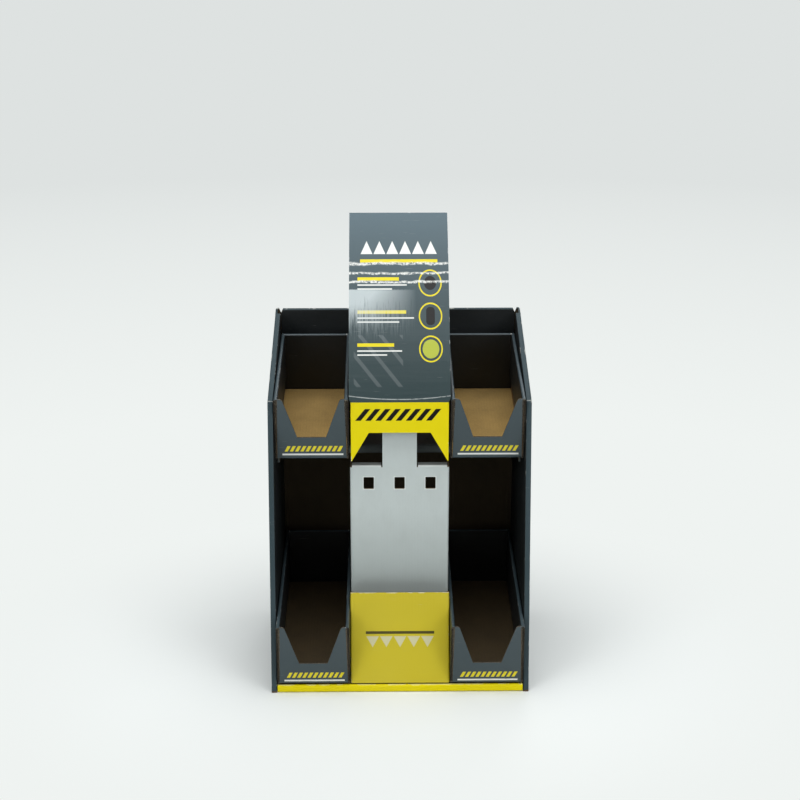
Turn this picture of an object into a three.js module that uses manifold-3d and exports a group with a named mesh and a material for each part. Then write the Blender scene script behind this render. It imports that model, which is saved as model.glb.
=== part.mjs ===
// Counter display rack of corrugated board, in millimetres, +Z up, front towards -Y.
// Each piece is one cut and folded sheet. A sheet is drawn edge on as a middle line with round bends,
// given its thickness and drawn out along its fold, then its openings are cut.

import * as THREE from 'three';
import { mergeVertices } from 'three/addons/utils/BufferGeometryUtils.js';
import Module from 'manifold-3d';

const wasm = await Module();
wasm.setup();

// Boards and clearances
const shellBoard = 2.3;        // thickness of the board of the shell, base and shelf
const trayBoard = 2.0;         // thickness of the board of the trays
const cardBoard = 1.8;         // thickness of the board of the sign, the pocket and the column
const foldInside = 0.5;        // inside radius of a fold
const hemGap = 0.5;            // air between the two layers of a turned-over hem
const seat = 0.3;              // gap between two pieces that rest on each other
const slip = 0.7;              // side clearance of a piece that slides between two others
const baySlip = 0.6;           // side clearance of the sign and the pocket in the bay between the trays
const columnSlip = 1.05;       // side clearance of the column in the same bay
const bendSteps = 4;           // facets of a quarter bend

// Outer shell
const rackWidth = 300;
const shoulderHeight = 340;    // where the leaning front edge meets the sloping top edge
const backHeight = 405;
const shoulderSetback = 48;    // how far the front edge leans back between the floor and the shoulder
const topDepth = 182;          // from the shoulder to the back, level
const wallThickness = 6.4;     // of a side wall, its two layers together
const wallEdgeRound = 1.1;     // rounding along the folded front and top of a side wall
const backCornerInside = 0.8;  // inside radius of the shell's two upright folds
const flapEnd = 63.6;          // lower end of the back's folded-over flap, above the upper lips' underside
const cornerNotch = 6;         // depth and width of the V between the folded-over edges
const cornerLeg = 12;          // length of side wall that belongs to the upright fold

// Base
const stripHeight = 9.5;       // coloured strip below the lower trays
const glueFlap = 26;           // height of the upright flaps that are glued inside the shell
const glueFlapFront = 5;       // height of the side flaps at their front end

// Trays
const trayHeight = 77;
const trayGap = 116.8;         // between the left and the right trays
const lowerTilt = 7.5;         // degrees
const upperTilt = 10.6;        // degrees
const upperFront = 7.5;        // underside of the upper trays' lips, level distance behind the shoulder
const upperRise = 269.4;       // underside of the upper trays' lips, height above the floor
const lipMouthTop = 66;        // width of the lip's opening at its top
const lipMouthFoot = 33;       // width of the lip's opening at its foot
const lipMouthDepth = 49;
const lipRound = 3;            // rounding of the lip's corners
const sideHemEnd = 20;         // how far the side hems stop above the tray's underside

// Shelf below the upper trays
const shelfSetback = 33;       // front edge of the shelf behind the lips of the upper trays
const shelfHem = 10;
const shelfFlap = 25;

// Centre column
const columnFront = 12;        // front face, level distance behind the shoulder
const columnTop = 259.5;       // height of its two shoulders above the floor
const columnReturn = 25;       // depth of the side returns
const columnFlap = 11;         // depth of the flaps that are folded back at the shoulders
const neckWidth = 39.6;
const slotWidth = 11.9;
const slotHeight = 14.5;
const slotPitch = 35.8;
const slotCount = 3;
const slotDrop = 21.5;         // from the column's shoulders to the middle of the slots
const slotRound = 1.2;

// Pocket in front of the column's foot
const pocketRise = 98;         // height of the leaning panel's top edge above its foot
const pocketLean = 37;         // how far the panel's top edge lies behind its foot
const pocketFoot = 26;         // length of the panel's foot flap

// Sign
const signRise = 191;          // from the fold at the shoulder to the top edge, upright
const signLean = 143;          // from the fold to the top edge, level
const signBow = 9;             // how far the face is bowed out of the straight line
const signCorner = 7;          // rounding of the face's two lower corners
const signFoldForward = 1.5;   // the fold lies this far in front of the shoulder
const legClearance = 4;        // between the sign's rear leg and the back's flap
const dropInset = 2.1;         // the panel below the fold is narrower than the sign by this on each side
const dropHeight = 70;         // of the panel that hangs below the fold
const archTop = 36;            // from the fold to the top of the arch
const archShoulder = 20.45;    // from the panel's side to the arch's upper corner
const archTip = 0.8;           // width left at the tips of the two legs

const rad = THREE.MathUtils.degToRad;

// Places worked out from the sizes above
const wallInner = rackWidth / 2 - wallThickness;
const baseFront = -shoulderSetback;
const backOuter = topDepth;
const backInner = backOuter - shellBoard;
const hemThickness = 2 * shellBoard + hemGap;
const flapInner = backOuter - hemThickness;
const backFlap = backHeight - upperRise - flapEnd;
const topSlope = (backHeight - shoulderHeight) / topDepth;
const trayOuter = wallInner - slip;
const trayWidth = trayOuter - trayGap / 2;
const trayMiddle = (trayOuter + trayGap / 2) / 2;
const signWidth = trayGap - 2 * baySlip;
const pocketWidth = trayGap - 2 * baySlip;
const columnWidth = trayGap - 2 * columnSlip;
const dropWidth = signWidth - 2 * dropInset;
const lowerFront = baseFront + seat;
const lowerRise = stripHeight + 6 * seat;
const lowerDepth = (backInner - slip - lowerFront) / Math.cos(rad(lowerTilt));
const upperDepth = (backInner - slip - upperFront) / Math.cos(rad(upperTilt));

// Turning sheets into solids

const point = (x, y) => new THREE.Vector2(x, y);

function toSolid(geometry) {
  geometry.deleteAttribute('normal');
  geometry.deleteAttribute('uv');
  const merged = mergeVertices(geometry, 1e-4);
  return new wasm.Manifold(new wasm.Mesh({
    numProp: 3,
    vertProperties: new Float32Array(merged.attributes.position.array),
    triVerts: new Uint32Array(merged.index.array),
  }));
}

function toGeometry(solid) {
  const mesh = solid.getMesh();
  const geometry = new THREE.BufferGeometry();
  geometry.setAttribute('position', new THREE.BufferAttribute(new Float32Array(mesh.vertProperties), 3));
  geometry.setIndex(new THREE.BufferAttribute(new Uint32Array(mesh.triVerts), 1));
  const flat = geometry.toNonIndexed();
  flat.computeVertexNormals();
  return flat;
}

// Outline in x and y, raised from z0 to z1
function raise(shape, z0, z1) {
  const geometry = new THREE.ExtrudeGeometry(shape, { depth: z1 - z0, bevelEnabled: false, curveSegments: bendSteps });
  geometry.translate(0, 0, z0);
  return toSolid(geometry);
}

// Outline in y and z, widened from x0 to x1
function widen(shape, x0, x1) {
  const geometry = new THREE.ExtrudeGeometry(shape, { depth: x1 - x0, bevelEnabled: false, curveSegments: bendSteps });
  geometry.translate(0, 0, x0);
  geometry.applyMatrix4(sideView);
  return toSolid(geometry);
}

// Outline in x and z, deepened from y0 to y1
function deepen(shape, y0, y1) {
  const geometry = new THREE.ExtrudeGeometry(shape, { depth: y1 - y0, bevelEnabled: false, curveSegments: bendSteps });
  geometry.translate(0, 0, -y1);
  geometry.applyMatrix4(frontView);
  return toSolid(geometry);
}

const axis = (x, y, z) => new THREE.Vector3(x, y, z);
const sideView = new THREE.Matrix4().makeBasis(axis(0, 1, 0), axis(0, 0, 1), axis(1, 0, 0));
const frontView = new THREE.Matrix4().makeBasis(axis(1, 0, 0), axis(0, 0, 1), axis(0, -1, 0));

// A line through the corners with every corner rounded; each point carries its normal to the left
function bentLine(corners, radius) {
  const line = [];
  const last = corners.length - 1;
  corners.forEach((corner, i) => {
    const before = i > 0 ? corner.clone().sub(corners[i - 1]) : corners[1].clone().sub(corner);
    const after = i < last ? corners[i + 1].clone().sub(corner) : before.clone();
    const turn = Math.atan2(before.x * after.y - before.y * after.x, before.dot(after));
    const room = Math.min(before.length(), after.length());
    const half = Math.tan(Math.abs(turn) / 2);
    const normal = point(-before.y, before.x).normalize();
    if (half < 1e-6) {
      line.push({ at: corner.clone(), normal });
      return;
    }
    const reach = Math.min(radius * half, room / 2);
    const side = Math.sign(turn) * reach / half;
    const start = corner.clone().addScaledVector(before.clone().normalize(), -reach);
    const centre = start.clone().addScaledVector(normal, side);
    const steps = Math.max(2, Math.round(bendSteps * Math.abs(turn) / (Math.PI / 2)));
    for (let k = 0; k <= steps; k++) {
      const angle = turn * k / steps;
      line.push({
        at: start.clone().rotateAround(centre, angle),
        normal: normal.clone().rotateAround(point(0, 0), angle),
      });
    }
  });
  return line;
}

// A board seen edge on, from its middle line
function sheet(corners, board, inside = foldInside) {
  const line = bentLine(corners, inside + board / 2);
  const left = line.map((p) => p.at.clone().addScaledVector(p.normal, board / 2));
  const right = line.map((p) => p.at.clone().addScaledVector(p.normal, -board / 2));
  return new THREE.Shape([...right, ...left.reverse()]);
}

// A closed outline with every corner rounded
function roundedOutline(corners, radius) {
  const shape = new THREE.Shape();
  corners.forEach((corner, i) => {
    const previous = corners[(i + corners.length - 1) % corners.length];
    const next = corners[(i + 1) % corners.length];
    const room = Math.min(corner.distanceTo(previous), corner.distanceTo(next)) / 2;
    const reach = Math.min(radius, room);
    const enter = corner.clone().lerp(previous, reach / corner.distanceTo(previous));
    const leave = corner.clone().lerp(next, reach / corner.distanceTo(next));
    if (i === 0) {
      shape.moveTo(enter.x, enter.y);
    } else {
      shape.lineTo(enter.x, enter.y);
    }
    shape.quadraticCurveTo(corner.x, corner.y, leave.x, leave.y);
  });
  shape.closePath();
  return shape;
}

function rectangle(x0, x1, y0, y1) {
  return new THREE.Shape([point(x0, y0), point(x1, y0), point(x1, y1), point(x0, y1)]);
}

function block(x0, x1, y0, y1, z0, z1) {
  return raise(rectangle(x0, x1, y0, y1), z0, z1);
}

function joinAll(solids) {
  return solids.reduce((whole, next) => whole.add(next));
}

// The corner of two straight edges moved inwards by a distance
function movedCorner(before, corner, after, distance) {
  const first = corner.clone().sub(before).normalize();
  const second = after.clone().sub(corner).normalize();
  const firstNormal = point(first.y, -first.x);
  const secondNormal = point(second.y, -second.x);
  const share = distance / (1 + firstNormal.dot(secondNormal));
  return corner.clone().addScaledVector(firstNormal.add(secondNormal), share);
}

const rack = new THREE.Group();

function addPiece(name, solid, finish, parent = rack) {
  const material = new THREE.MeshStandardMaterial({ metalness: 0, ...finish });
  const mesh = new THREE.Mesh(toGeometry(solid), material);
  mesh.name = name;
  parent.add(mesh);
  return mesh;
}

const slatePrint = { color: 0x424c52, roughness: 0.42 };
const darkPrint = { color: 0x2d3740, roughness: 0.5 };
const yellowPrint = { color: 0xd8c818, roughness: 0.4 };
const paleBoard = { color: 0xb7c1c0, roughness: 0.6 };
const kraftBoard = { color: 0x8f7144, roughness: 0.85 };

// The outer shell: back, folded-over top flap and two double side walls
function outerShell() {
  const foot = point(baseFront, 0);
  const shoulder = point(0, shoulderHeight);
  const below = wallEdgeRound + shellBoard;
  const lean = shoulderSetback / shoulderHeight;
  const wallBack = backOuter - cornerLeg;
  const slopeAt = (y) => shoulderHeight + y * topSlope;

  const wallOutline = new THREE.Shape([
    point(foot.x - below * lean, -below),
    point(wallBack, -below),
    point(wallBack, slopeAt(wallBack)),
    shoulder,
  ]);
  const hollowShoulder = movedCorner(foot, shoulder, point(backOuter, backHeight), shellBoard);
  const hollowOutline = new THREE.Shape([
    point(hollowShoulder.x - (hollowShoulder.y + 2 * below) * lean, -2 * below),
    point(wallBack + cornerLeg, -2 * below),
    point(wallBack + cornerLeg, hollowShoulder.y + (wallBack + cornerLeg - hollowShoulder.x) * topSlope),
    hollowShoulder,
  ]);

  const solids = [];
  for (const side of [-1, 1]) {
    const wallGeometry = new THREE.ExtrudeGeometry(wallOutline, {
      depth: wallThickness - 2 * wallEdgeRound,
      bevelThickness: wallEdgeRound,
      bevelSize: wallEdgeRound,
      bevelOffset: -wallEdgeRound,
      bevelSegments: 2,
    });
    wallGeometry.translate(0, 0, wallEdgeRound - wallThickness / 2);
    wallGeometry.applyMatrix4(sideView);
    const middle = side * (rackWidth - wallThickness) / 2;
    const gap = wallThickness / 2 - shellBoard;
    const wall = toSolid(wallGeometry).subtract(widen(hollowOutline, -gap, gap));
    solids.push(wall.translate([middle, 0, 0]));
  }

  // The two upright folds, with a short leg of each outer layer
  const legX = rackWidth / 2 - shellBoard / 2;
  const backY = backOuter - shellBoard / 2;
  const legY = backOuter - cornerLeg - shellBoard;
  const wrap = sheet([
    point(-legX, legY),
    point(-legX, backY),
    point(legX, backY),
    point(legX, legY),
  ], shellBoard, backCornerInside);
  const underSlope = new THREE.Shape([
    point(legY - 1, -below),
    point(backOuter + 1, -below),
    point(backOuter + 1, slopeAt(backOuter)),
    point(backOuter, slopeAt(backOuter)),
    point(legY - 1, slopeAt(legY - 1)),
  ]);
  const wrapSolid = raise(wrap, 0, backHeight + 1);
  const trimmedWrap = wrapSolid.intersect(widen(underSlope, -rackWidth, rackWidth));
  const backTop = backHeight - shellBoard - foldInside;
  solids.push(trimmedWrap.subtract(block(-wallInner, wallInner, legY, backOuter + 1, backTop, backHeight + 2)));

  // The back with the flap that is turned over its top edge
  const flapY = backOuter - hemThickness + shellBoard / 2;
  const foldTop = backHeight - shellBoard / 2;
  const backSheet = sheet([
    point(backY, 0),
    point(backY, foldTop),
    point(flapY, foldTop),
    point(flapY, backHeight - backFlap),
  ], shellBoard);
  const flapHalf = wallInner - seat;
  solids.push(widen(backSheet, -flapHalf, flapHalf));

  // The V between the folded-over edges at the two top corners
  let shell = joinAll(solids);
  for (const side of [-1, 1]) {
    const notchX = side * wallInner;
    const notch = new THREE.Shape([
      point(notchX - cornerNotch / 2, backHeight + 1),
      point(notchX, backHeight - cornerNotch),
      point(notchX + cornerNotch / 2, backHeight + 1),
    ]);
    shell = shell.subtract(deepen(notch, flapInner - 1, backOuter + 1));
  }
  return shell.subtract(block(-rackWidth, rackWidth, 2 * baseFront, 2 * backOuter, -rackWidth, 0));
}

// The height of the tray's underside above a level place y, for a tilted row of trays
const undersideAt = (y, front, rise, tilt) => rise + (y - front) * Math.tan(rad(tilt));
const lowerUnderside = (y) => undersideAt(y, lowerFront, lowerRise, lowerTilt);

// The base: floor, hemmed front strip and upright glue flaps
function baseTray() {
  const half = wallInner - slip;
  const stripFold = stripHeight - shellBoard / 2;
  const stripY = baseFront + shellBoard / 2;
  const backY = backInner - seat - shellBoard / 2;
  const lengthwise = sheet([
    point(stripY + shellBoard + hemGap, shellBoard + foldInside),
    point(stripY + shellBoard + hemGap, stripFold),
    point(stripY, stripFold),
    point(stripY, shellBoard / 2),
    point(backY, shellBoard / 2),
    point(backY, glueFlap),
  ], shellBoard);

  const flapFront = baseFront + hemThickness + slip;
  const flapBack = backInner - shellBoard - 2 * slip;
  const crosswise = sheet([
    point(-half + shellBoard / 2, glueFlap),
    point(-half + shellBoard / 2, shellBoard / 2),
    point(half - shellBoard / 2, shellBoard / 2),
    point(half - shellBoard / 2, glueFlap),
  ], shellBoard);
  const flapOutline = new THREE.Shape([
    point(flapFront, 0),
    point(flapBack, 0),
    point(flapBack, glueFlap),
    point(flapFront, glueFlapFront),
  ]);
  const sides = deepen(crosswise, flapFront, flapBack).intersect(widen(flapOutline, -half - 1, half + 1));
  return widen(lengthwise, -half, half).add(sides);
}

// The wedge that carries the lower trays: front leg, sloping deck, rear leg
function lowerRiser() {
  const half = wallInner - slip - shellBoard - slip;
  const deckDrop = (seat + shellBoard / 2) / Math.cos(rad(lowerTilt));
  const frontY = baseFront + hemThickness + slip + shellBoard / 2;
  const rearY = backInner - 2 * shellBoard - 3 * slip;
  const legFoot = shellBoard + seat;
  return widen(sheet([
    point(frontY, legFoot),
    point(frontY, lowerUnderside(frontY) - deckDrop),
    point(rearY, lowerUnderside(rearY) - deckDrop),
    point(rearY, legFoot),
  ], shellBoard), -half, half);
}

// The shelf under the upper trays, drawn level; its top front edge is at the origin
function upperShelf(depth) {
  const half = wallInner - slip;
  const plumb = rad(upperTilt);
  const deckZ = -shellBoard / 2;
  const back = depth - shellBoard / 2;
  const lengthwise = sheet([
    point(shellBoard / 2 - shelfHem * Math.sin(plumb), -shelfHem * Math.cos(plumb)),
    point(shellBoard / 2, deckZ),
    point(back, deckZ),
    point(back - shelfFlap * Math.sin(plumb), deckZ - shelfFlap * Math.cos(plumb)),
  ], shellBoard);
  const crosswise = sheet([
    point(-half + shellBoard / 2, -shelfFlap),
    point(-half + shellBoard / 2, deckZ),
    point(half - shellBoard / 2, deckZ),
    point(half - shellBoard / 2, -shelfFlap),
  ], shellBoard);
  const inset = shellBoard + foldInside;
  const ends = shelfFlap * Math.sin(plumb) + inset;
  return widen(lengthwise, -half + inset, half - inset).add(deepen(crosswise, inset, depth - ends - shellBoard));
}

// The mouth of a tray's lip: a trapezoid with rounded corners, open at the top
function lipMouth() {
  const foot = trayHeight - lipMouthDepth;
  const top = lipMouthTop / 2;
  const bottom = lipMouthFoot / 2;
  const mouth = new THREE.Shape();
  mouth.moveTo(-top - lipRound, trayHeight);
  mouth.quadraticCurveTo(-top, trayHeight, -top + lipRound / 3, trayHeight - lipRound);
  mouth.lineTo(-bottom, foot);
  mouth.lineTo(bottom, foot);
  mouth.lineTo(top - lipRound / 3, trayHeight - lipRound);
  mouth.quadraticCurveTo(top, trayHeight, top + lipRound, trayHeight);
  mouth.lineTo(top + lipRound, trayHeight + 1);
  mouth.lineTo(-top - lipRound, trayHeight + 1);
  mouth.closePath();
  return mouth;
}

// A tray, drawn level; the foot of its lip is at the origin
function tray(depth) {
  const half = trayWidth / 2;
  const hem = 2 * trayBoard + hemGap;
  const wallX = half - trayBoard / 2;
  const hemX = half - hem + trayBoard / 2;
  const floorZ = trayBoard / 2;
  const foldZ = trayHeight - trayBoard / 2;
  const crosswise = sheet([
    point(-hemX, sideHemEnd),
    point(-hemX, foldZ),
    point(-wallX, foldZ),
    point(-wallX, floorZ),
    point(wallX, floorZ),
    point(wallX, foldZ),
    point(hemX, foldZ),
    point(hemX, sideHemEnd),
  ], trayBoard);

  // The side walls run the whole depth; floor and hems stop short of the lip and of the back
  const between = half - trayBoard - hemGap / 2;
  const endFront = trayBoard + 2 * foldInside;
  const endBack = depth - hem - seat;
  let solid = deepen(crosswise, 0, depth);
  solid = solid.subtract(block(-between, between, -1, endFront, -1, trayHeight - trayBoard - foldInside));
  solid = solid.subtract(block(-between, between, endBack, depth + 1, -1, trayHeight + 1));

  const lipY = trayBoard / 2;
  const backY = depth - trayBoard / 2;
  const backHemY = depth - hem + trayBoard / 2;
  const lengthwise = sheet([
    point(lipY, trayHeight),
    point(lipY, floorZ),
    point(backY, floorZ),
    point(backY, foldZ),
    point(backHemY, foldZ),
    point(backHemY, trayBoard + foldInside),
  ], trayBoard);
  const acrossHalf = between - hemGap / 2;
  const lipAndBack = widen(lengthwise, -acrossHalf, acrossHalf);
  return solid.add(lipAndBack).subtract(deepen(lipMouth(), -1, trayBoard + foldInside));
}

// The column between the trays: slotted front, neck, shoulder flaps and side returns
function centreColumn(signUnderside) {
  const half = columnWidth / 2;
  const front = columnFront;
  const back = columnFront + cardBoard;
  const deckTop = (y) => lowerUnderside(y) + seat;
  const foldRoom = cardBoard + foldInside;
  const columnFoot = deckTop(front) - 1;
  const plan = sheet([
    point(-half + cardBoard / 2, front + columnReturn),
    point(-half + cardBoard / 2, front + cardBoard / 2),
    point(half - cardBoard / 2, front + cardBoard / 2),
    point(half - cardBoard / 2, front + columnReturn),
  ], cardBoard);
  const parts = [raise(plan, columnFoot, columnTop - foldRoom)];

  const flap = sheet([
    point(front + cardBoard / 2, columnTop - 2 * foldRoom),
    point(front + cardBoard / 2, columnTop - cardBoard / 2),
    point(front + columnFlap, columnTop - cardBoard / 2),
  ], cardBoard);
  const neckHalf = neckWidth / 2;
  const relief = foldInside + cardBoard / 2;
  parts.push(widen(flap, -half + foldRoom, -neckHalf - relief));
  parts.push(widen(flap, neckHalf + relief, half - foldRoom));
  const neckTop = signUnderside(back);
  parts.push(block(-neckHalf, neckHalf, front, back, columnTop - 2 * foldRoom, neckTop));

  let column = joinAll(parts);
  const slotZ = columnTop - slotDrop;
  for (let i = 0; i < slotCount; i++) {
    const slotX = (i - (slotCount - 1) / 2) * slotPitch;
    const slot = roundedOutline([
      point(slotX - slotWidth / 2, slotZ - slotHeight / 2),
      point(slotX + slotWidth / 2, slotZ - slotHeight / 2),
      point(slotX + slotWidth / 2, slotZ + slotHeight / 2),
      point(slotX - slotWidth / 2, slotZ + slotHeight / 2),
    ], slotRound);
    column = column.subtract(deepen(slot, front - 1, back + 1));
  }
  // Its foot is cut to the slope of the deck that it stands on
  const deck = new THREE.Shape([
    point(front - columnReturn, columnFoot - columnReturn),
    point(front + 2 * columnReturn, columnFoot - columnReturn),
    point(front + 2 * columnReturn, deckTop(front + 2 * columnReturn)),
    point(front - columnReturn, deckTop(front - columnReturn)),
  ]);
  return column.subtract(widen(deck, -half - 1, half + 1));
}

// The pocket: leaning panel, foot flap and two gussets that reach back to the column
function pocketFront() {
  const half = pocketWidth / 2;
  const lean = Math.atan2(pocketLean, pocketRise);
  const length = Math.hypot(pocketLean, pocketRise);
  const footY = baseFront + 2 * slip;
  const footZ = lowerUnderside(footY);
  const reach = columnFront - seat - footY;

  // Panel and gussets as one channel, drawn upright and then leant back
  const channel = sheet([
    point(-half + cardBoard / 2, 2 * reach),
    point(-half + cardBoard / 2, cardBoard / 2),
    point(half - cardBoard / 2, cardBoard / 2),
    point(half - cardBoard / 2, 2 * reach),
  ], cardBoard);
  const upright = raise(channel, -length, length);
  const leaning = upright.rotate([-lean * 180 / Math.PI, 0, 0]).translate([0, footY, footZ]);
  const topCut = footZ + length * Math.cos(lean);
  const room = new THREE.Shape([
    point(footY - reach, lowerUnderside(footY - reach)),
    point(columnFront - seat, lowerUnderside(columnFront - seat)),
    point(columnFront - seat, topCut),
    point(footY - reach, topCut),
  ]);
  const body = leaning.intersect(widen(room, -half - 1, half + 1));

  // The foot flap lies on the deck between the gussets
  const footFlap = widen(sheet([
    point(footY + cardBoard, lowerUnderside(footY + cardBoard) + cardBoard / 2),
    point(footY + pocketFoot, lowerUnderside(footY + pocketFoot) + cardBoard / 2),
  ], cardBoard), -half + 2 * cardBoard, half - 2 * cardBoard);
  return body.add(footFlap.intersect(widen(room, -half, half)));
}

// The sign: hanging panel, fold, bowed leaning face, top fold and rear leg
const signFold = point(-signFoldForward, shoulderHeight);
const signTop = point(signLean, shoulderHeight + signRise);

// The middle line of the sign's face, as a shallow arc between the two folds
function signFaceLine() {
  const chord = signTop.clone().sub(signFold);
  const outwards = point(-chord.y, chord.x).normalize();
  const steps = 10;
  const line = [];
  for (let k = 0; k <= steps; k++) {
    const along = k / steps;
    const bow = 4 * signBow * along * (1 - along);
    line.push(signFold.clone().addScaledVector(chord, along).addScaledVector(outwards, bow));
  }
  return line;
}

function signCard(shelfTop) {
  const half = signWidth / 2;
  const legY = flapInner - legClearance;
  const profile = sheet([
    point(signFold.x, signFold.y - dropHeight),
    ...signFaceLine(),
    point(legY, shelfTop(legY) + seat),
  ], cardBoard);
  let card = widen(profile, -half, half);

  // The face narrows round its lower corners to the hanging panel
  const dropHalf = dropWidth / 2;
  for (const side of [-1, 1]) {
    const corner = new THREE.Shape();
    corner.moveTo(side * (half + 1), signFold.y - dropHeight - 1);
    corner.lineTo(side * dropHalf, signFold.y - dropHeight - 1);
    corner.lineTo(side * dropHalf, signFold.y + cardBoard / 2);
    corner.quadraticCurveTo(side * half, signFold.y + cardBoard, side * half, signFold.y + signCorner);
    corner.lineTo(side * (half + 1), signFold.y + signCorner);
    corner.closePath();
    const cutBack = signFold.x + signCorner + cardBoard;
    card = card.subtract(deepen(corner, signFold.x - cardBoard - signBow, cutBack));
  }

  // The arch between the panel's two tapering legs
  const archZ = signFold.y - archTop;
  const tipZ = signFold.y - dropHeight;
  const arch = new THREE.Shape();
  const tipHalf = dropHalf - archTip;
  const archHalf = dropHalf - archShoulder;
  arch.moveTo(-tipHalf, tipZ - 1);
  arch.lineTo(-tipHalf, tipZ);
  arch.lineTo(-archHalf, archZ);
  arch.lineTo(archHalf, archZ);
  arch.lineTo(tipHalf, tipZ);
  arch.lineTo(tipHalf, tipZ - 1);
  arch.closePath();
  return card.subtract(deepen(arch, signFold.x - cardBoard, signFold.x + cardBoard));
}

// The pieces in their places

addPiece('outer_shell', outerShell(), darkPrint);
addPiece('base_tray', baseTray(), yellowPrint);
addPiece('lower_riser', lowerRiser(), kraftBoard);

const upperRow = new THREE.Group();
upperRow.position.set(0, upperFront, upperRise);
upperRow.rotation.x = rad(upperTilt);
rack.add(upperRow);

const lowerRow = new THREE.Group();
lowerRow.position.set(0, lowerFront, lowerRise);
lowerRow.rotation.x = rad(lowerTilt);
rack.add(lowerRow);

for (const [side, place] of [['left', -1], ['right', 1]]) {
  const upper = addPiece(`tray_upper_${side}`, tray(upperDepth), slatePrint, upperRow);
  upper.position.x = place * trayMiddle;
  const lower = addPiece(`tray_lower_${side}`, tray(lowerDepth), slatePrint, lowerRow);
  lower.position.x = place * trayMiddle;
}

const shelfDepth = upperDepth - shelfSetback - shellBoard * Math.tan(rad(upperTilt));
const shelf = addPiece('upper_shelf', upperShelf(shelfDepth), slatePrint, upperRow);
shelf.position.set(0, shelfSetback, -seat);
const shelfTop = (y) => undersideAt(y, upperFront, upperRise, upperTilt) - seat / Math.cos(rad(upperTilt));

// The underside of the sign's face above a level place y just behind the fold
function signUnderside(y) {
  const line = signFaceLine();
  const next = line.findIndex((p) => p.x > y);
  const share = (y - line[next - 1].x) / (line[next].x - line[next - 1].x);
  const middle = THREE.MathUtils.lerp(line[next - 1].y, line[next].y, share);
  const slope = Math.atan2(line[next].y - line[next - 1].y, line[next].x - line[next - 1].x);
  return middle - (cardBoard / 2 + seat) / Math.cos(slope) - cardBoard * Math.tan(slope);
}

addPiece('centre_column', centreColumn(signUnderside), paleBoard);
addPiece('pocket_front', pocketFront(), yellowPrint);
addPiece('sign_card', signCard(shelfTop), slatePrint);

// The origin lies below the middle of the whole rack: the lower lips reach furthest forward
const lipReach = lowerFront - trayHeight * Math.sin(rad(lowerTilt));
rack.position.y = -(lipReach + backOuter) / 2;

export default rack;
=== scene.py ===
import random
from math import cos, pi, radians, sin

import bmesh
import bpy
from mathutils import Euler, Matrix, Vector


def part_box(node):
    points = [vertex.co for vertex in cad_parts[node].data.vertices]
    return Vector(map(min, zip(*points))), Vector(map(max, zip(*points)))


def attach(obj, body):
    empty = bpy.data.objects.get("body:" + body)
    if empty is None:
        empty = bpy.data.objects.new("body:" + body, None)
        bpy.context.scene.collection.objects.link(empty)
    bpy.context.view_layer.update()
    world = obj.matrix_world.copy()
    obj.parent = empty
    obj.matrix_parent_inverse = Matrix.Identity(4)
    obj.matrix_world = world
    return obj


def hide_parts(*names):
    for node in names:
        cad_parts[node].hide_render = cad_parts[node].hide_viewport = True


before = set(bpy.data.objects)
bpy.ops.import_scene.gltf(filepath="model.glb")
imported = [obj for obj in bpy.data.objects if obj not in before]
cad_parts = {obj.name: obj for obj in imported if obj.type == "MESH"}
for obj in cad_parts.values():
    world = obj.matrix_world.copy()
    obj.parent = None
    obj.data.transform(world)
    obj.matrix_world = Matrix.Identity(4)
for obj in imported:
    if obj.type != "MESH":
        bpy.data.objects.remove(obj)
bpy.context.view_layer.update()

random.seed(41)
mm = 0.001
yShift = 62.125                    # a y drawn from the shoulder, less this, is a y in the frame


# Shader writing

class Value:
    # wraps one output socket, so that masks are written as sums and products
    def __init__(self, finish, socket):
        self.finish = finish
        self.socket = socket

    # one step of arithmetic, with this value as its first input
    def math(self, operation, *others):
        return self.finish.out("ShaderNodeMath", {"operation": operation}, (self, *others))

    def __add__(self, other):
        return self.math("ADD", other)

    def __sub__(self, other):
        return self.math("SUBTRACT", other)

    def __rsub__(self, other):
        return self.finish.out("ShaderNodeMath", {"operation": "SUBTRACT"}, (other, self))

    def __mul__(self, other):
        return self.math("MULTIPLY", other)

    def __truediv__(self, other):
        return self.math("DIVIDE", other)

    def __abs__(self):
        return self.math("ABSOLUTE")

    __radd__ = __add__
    __rmul__ = __mul__


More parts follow.
